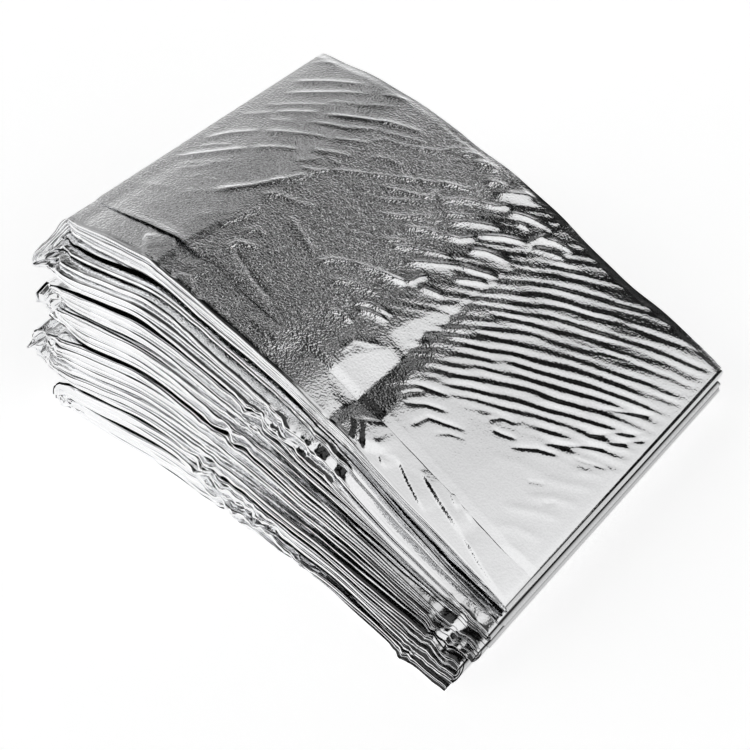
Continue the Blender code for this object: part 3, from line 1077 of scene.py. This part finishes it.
def foilMaterial(name, streakDepth):
    material = bpy.data.materials.new(name)
    material.use_nodes = True
    nodes, links = material.node_tree.nodes, material.node_tree.links
    surface = nodes["Principled BSDF"]
    surface.inputs["Metallic"].default_value = 1.0
    place = nodes.new("ShaderNodeTexCoord")
    fine = addNoise(nodes, links, place.outputs["Object"], 1 / film["grainSize"], 1.0)
    broad = addNoise(nodes, links, place.outputs["Object"], 1 / film["mottleSize"], 3.0)
    rough = nodes.new("ShaderNodeMapRange")
    rough.inputs["To Min"].default_value = film["roughness"] - film["roughnessRange"]
    rough.inputs["To Max"].default_value = film["roughness"] + film["roughnessRange"]
    links.new(broad, rough.inputs["Value"])
    links.new(rough.outputs["Result"], surface.inputs["Roughness"])
    tone = nodes.new("ShaderNodeValToRGB")
    tones = zip(tone.color_ramp.elements, film["dullRange"], (film["dullColour"], film["colour"]))
    for element, position, colour in tones:
        element.position = position
        element.color = (*colour, 1)
    links.new(fine, tone.inputs["Fac"])
    # painted shade: the film's colour is mixed toward near black where the painted-shade
    # attribute is set, on the closed ends and their seams
    dark = nodes.new("ShaderNodeMix")
    dark.data_type = "RGBA"
    first, second, mixed = dark.inputs[6], dark.inputs[7], dark.outputs[2]  # its colour sockets
    links.new(attributeValue(nodes, "painted_shade"), dark.inputs["Factor"])
    links.new(tone.outputs["Color"], first)
    second.default_value = (*film["paintedShadeColour"], 1)
    links.new(mixed, surface.inputs["Base Color"])
    bump = addBump(nodes, links, fine, film["grainDepth"], None)
    links.new(attributeValue(nodes, "grain"), bump.inputs["Strength"])
    bump = addBump(nodes, links, broad, film["mottleDepth"], bump.outputs["Normal"])
    if streakDepth:  # fine lines that run along the lips
        measure = nodes.new("ShaderNodeMapping")
        perLength, perWidth = 1 / film["streakLength"], 1 / film["streakWidth"]
        measure.inputs["Scale"].default_value = (perLength, perWidth, 1)
        links.new(place.outputs["UV"], measure.inputs["Vector"])
        streaks = addNoise(nodes, links, measure.outputs["Vector"], 1.0, 1.0)
        bump = addBump(nodes, links, streaks, streakDepth, bump.outputs["Normal"])
        links.new(attributeValue(nodes, "lips"), bump.inputs["Strength"])
    links.new(bump.outputs["Normal"], surface.inputs["Normal"])
    return material


topPiece.data.materials.append(foilMaterial("foil_top", 0))
sideFoil = foilMaterial("foil_sides", film["streakDepth"])
for piece in pairPieces:
    piece.data.materials.append(sideFoil)

print("joining the sheets to the frame")
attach(topPiece, "root")
for piece in pairPieces:
    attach(piece, "root")
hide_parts("foil_strip")
for piece in pairPieces:
    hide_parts("foil_strip")

print("setting the stage")
table = {
    "halfSize": 3.0,
    "drop": 0.0001,
    "colour": (0.9, 0.9, 0.9, 1),
    "roughness": 0.9,
    "glow": 0.58,  # lifts it close to white
}
floorMesh = bmesh.new()
bmesh.ops.create_grid(floorMesh, x_segments=1, y_segments=1, size=table["halfSize"])
floorData = bpy.data.meshes.new("floor")
floorMesh.to_mesh(floorData)
floorMesh.free()
floor = bpy.data.objects.new("floor", floorData)
floor.location.z = -table["drop"]
bpy.context.scene.collection.objects.link(floor)
floorMaterial = bpy.data.materials.new("floor")
floorMaterial.use_nodes = True
floorSurface = floorMaterial.node_tree.nodes["Principled BSDF"]
floorSurface.inputs["Base Color"].default_value = table["colour"]
floorSurface.inputs["Roughness"].default_value = table["roughness"]
floorSurface.inputs["Emission Color"].default_value = (1, 1, 1, 1)
floorSurface.inputs["Emission Strength"].default_value = table["glow"]
floorData.materials.append(floorMaterial)

studio = {
    "wallFrom": 26.5,  # degrees from +Y toward +X where the bright wall starts
    "wallSoft": 1.2,
    "wallFull": 58.0,
    "wallTo": 140.0,
    "wallFade": 15.0,
    "wallLevel": (0.64, 0.93),  # it grows brighter to the right
    "wallTop": (0.905, 0.875),  # where it ends above
    "levels": (  # rise of the direction, brightness at the back
        (-1.0, 0.95),
        (0.10, 0.95),
        (0.24, 0.90),
        (0.32, 0.68),
        (0.38, 0.44),
        (0.45, 0.37),
        (0.52, 0.34),
        (0.60, 0.30),
        (0.66, 0.26),
        (0.72, 0.22),
        (0.78, 0.18),
        (0.83, 0.14),
        (0.87, 0.045),
        (0.90, 0.035),
        (1.0, 0.03),
    ),
    "nearLeftLevels": (  # and on the camera's side
        (-1.0, 0.95),
        (0.54, 0.95),
        (0.60, 0.90),
        (0.66, 0.65),
        (0.72, 0.30),
        (0.80, 0.15),
        (0.88, 0.06),
        (1.0, 0.04),
    ),
    "nearRightLevels": (
        (-1.0, 0.95),
        (0.72, 0.95),
        (0.80, 0.90),
        (0.86, 0.40),
        (0.91, 0.05),
        (1.0, 0.04),
    ),
    "nearFrom": -80.0,
    "nearTo": -105.0,
    "stripFrom": -14.0,  # the dark strip beside the bright wall
    "stripTo": 6.0,
    "stripLow": 0.08,  # its share of the light low down and high up
    "stripHigh": 1.0,
    "stripRise": (0.73, 0.61),
    "mottleScale": 5.0,  # the far side is a little uneven
    "mottleRange": (0.44, 0.56),
    "mottleLow": 0.05,
    "mottleHigh": 2.0,
    "mottleRise": (0.45, 0.62),
}
world = bpy.data.worlds.new("studio")
bpy.context.scene.world = world
world.use_nodes = True
nodes, links = world.node_tree.nodes, world.node_tree.links
background = nodes["Background"]
direction = nodes.new("ShaderNodeTexCoord")
parts = nodes.new("ShaderNodeSeparateXYZ")
links.new(direction.outputs["Generated"], parts.inputs[0])


def worldMath(kind, first, second=0.0, third=None):
    node = nodes.new("ShaderNodeMath")
    node.operation = kind
    for socket, value in zip(node.inputs, (first, second, third)):
        if value is None:
            continue
        if isinstance(value, (int, float)):
            socket.default_value = value
        else:
            links.new(value, socket)
    return node.outputs[0]


def worldEase(value, low, high):
    node = nodes.new("ShaderNodeMapRange")
    node.interpolation_type = "SMOOTHSTEP"
    links.new(value, node.inputs["Value"])
    node.inputs["From Min"].default_value = low
    node.inputs["From Max"].default_value = high
    return node.outputs["Result"]


aroundAngle = worldMath("ARCTAN2", parts.outputs["X"], parts.outputs["Y"])
degrees = worldMath("MULTIPLY", aroundAngle, 180 / math.pi)
soft = studio["wallSoft"]
wallStart = worldEase(degrees, studio["wallFrom"] - soft, studio["wallFrom"] + soft)
wallStop = worldEase(degrees, studio["wallTo"] + studio["wallFade"], studio["wallTo"])
wallAbove = worldEase(parts.outputs["Z"], *studio["wallTop"])
wall = worldMath("MULTIPLY", worldMath("MULTIPLY", wallStart, wallStop), wallAbove)
rise = worldMath("MULTIPLY_ADD", parts.outputs["Z"], 0.5, 0.5)


def worldLevels(levels):
    ramp = nodes.new("ShaderNodeFloatCurve")
    curve = ramp.mapping.curves[0]
    curve.points[0].location = ((levels[0][0] + 1) / 2, levels[0][1])
    curve.points[1].location = ((levels[-1][0] + 1) / 2, levels[-1][1])
    for height, bright in levels[1:-1]:
        curve.points.new((height + 1) / 2, bright)
    ramp.mapping.update()
    links.new(rise, ramp.inputs["Value"])
    return ramp.outputs["Value"]


far = worldLevels(studio["levels"])
nearLeftLevel = worldLevels(studio["nearLeftLevels"])
nearRightLevel = worldLevels(studio["nearRightLevels"])
nearLeft = worldEase(degrees, studio["nearFrom"], studio["nearTo"])
nearRight = worldEase(degrees, studio["wallTo"], studio["wallTo"] + studio["wallFade"])
leftChange = worldMath("MULTIPLY", worldMath("SUBTRACT", nearLeftLevel, far), nearLeft)
rightChange = worldMath("MULTIPLY", worldMath("SUBTRACT", nearRightLevel, far), nearRight)
glow = worldMath("ADD", far, worldMath("ADD", leftChange, rightChange))
stripEase = worldEase(degrees, studio["stripFrom"], studio["stripTo"])
lowDown = worldEase(parts.outputs["Z"], *studio["stripRise"])
stripLoss = worldMath(
    "MULTIPLY_ADD", lowDown, studio["stripHigh"] - studio["stripLow"], 1 - studio["stripHigh"]
)
darkStrip = worldMath("SUBTRACT", 1.0, worldMath("MULTIPLY", stripEase, stripLoss))
uneven = nodes.new("ShaderNodeTexNoise")
uneven.inputs["Scale"].default_value = studio["mottleScale"]
uneven.inputs["Detail"].default_value = 2.0
links.new(direction.outputs["Generated"], uneven.inputs["Vector"])
mottle = nodes.new("ShaderNodeMapRange")
links.new(uneven.outputs["Fac"], mottle.inputs["Value"])
mottle.inputs["From Min"].default_value = studio["mottleRange"][0]
mottle.inputs["From Max"].default_value = studio["mottleRange"][1]
mottle.inputs["To Min"].default_value = studio["mottleLow"]
mottle.inputs["To Max"].default_value = studio["mottleHigh"]
raised = worldEase(parts.outputs["Z"], *studio["mottleRise"])
mottled = worldMath("SUBTRACT", mottle.outputs["Result"], 1.0)
mottled = worldMath("MULTIPLY_ADD", mottled, raised, 1.0)
glow = worldMath("MULTIPLY", worldMath("MULTIPLY", glow, darkStrip), mottled)
wallShade = nodes.new("ShaderNodeMapRange")
links.new(degrees, wallShade.inputs["Value"])
wallShade.inputs["From Min"].default_value = studio["wallFrom"]
wallShade.inputs["From Max"].default_value = studio["wallFull"]
wallShade.inputs["To Min"].default_value = studio["wallLevel"][0]
wallShade.inputs["To Max"].default_value = studio["wallLevel"][1]
missing = worldMath("SUBTRACT", wallShade.outputs["Result"], glow)
level = worldMath("ADD", glow, worldMath("MULTIPLY", wall, missing))
links.new(level, background.inputs["Strength"])
background.inputs["Color"].default_value = (1, 1, 1, 1)

cameraPlace = (eye - Vector((stack["centreX"], stack["centreY"], 0))) * 0.001
cameraData = bpy.data.cameras.new("camera")
cameraData.sensor_width = viewFrom["sensor"]
cameraData.lens = viewFrom["lens"]
cameraData.clip_start = 0.01
camera = bpy.data.objects.new("camera", cameraData)
pose = Matrix((right, up, backward)).transposed().to_4x4()
pose.translation = cameraPlace
camera.matrix_world = pose
bpy.context.scene.collection.objects.link(camera)
bpy.context.scene.camera = camera
bpy.context.scene.view_settings.view_transform = "Standard"
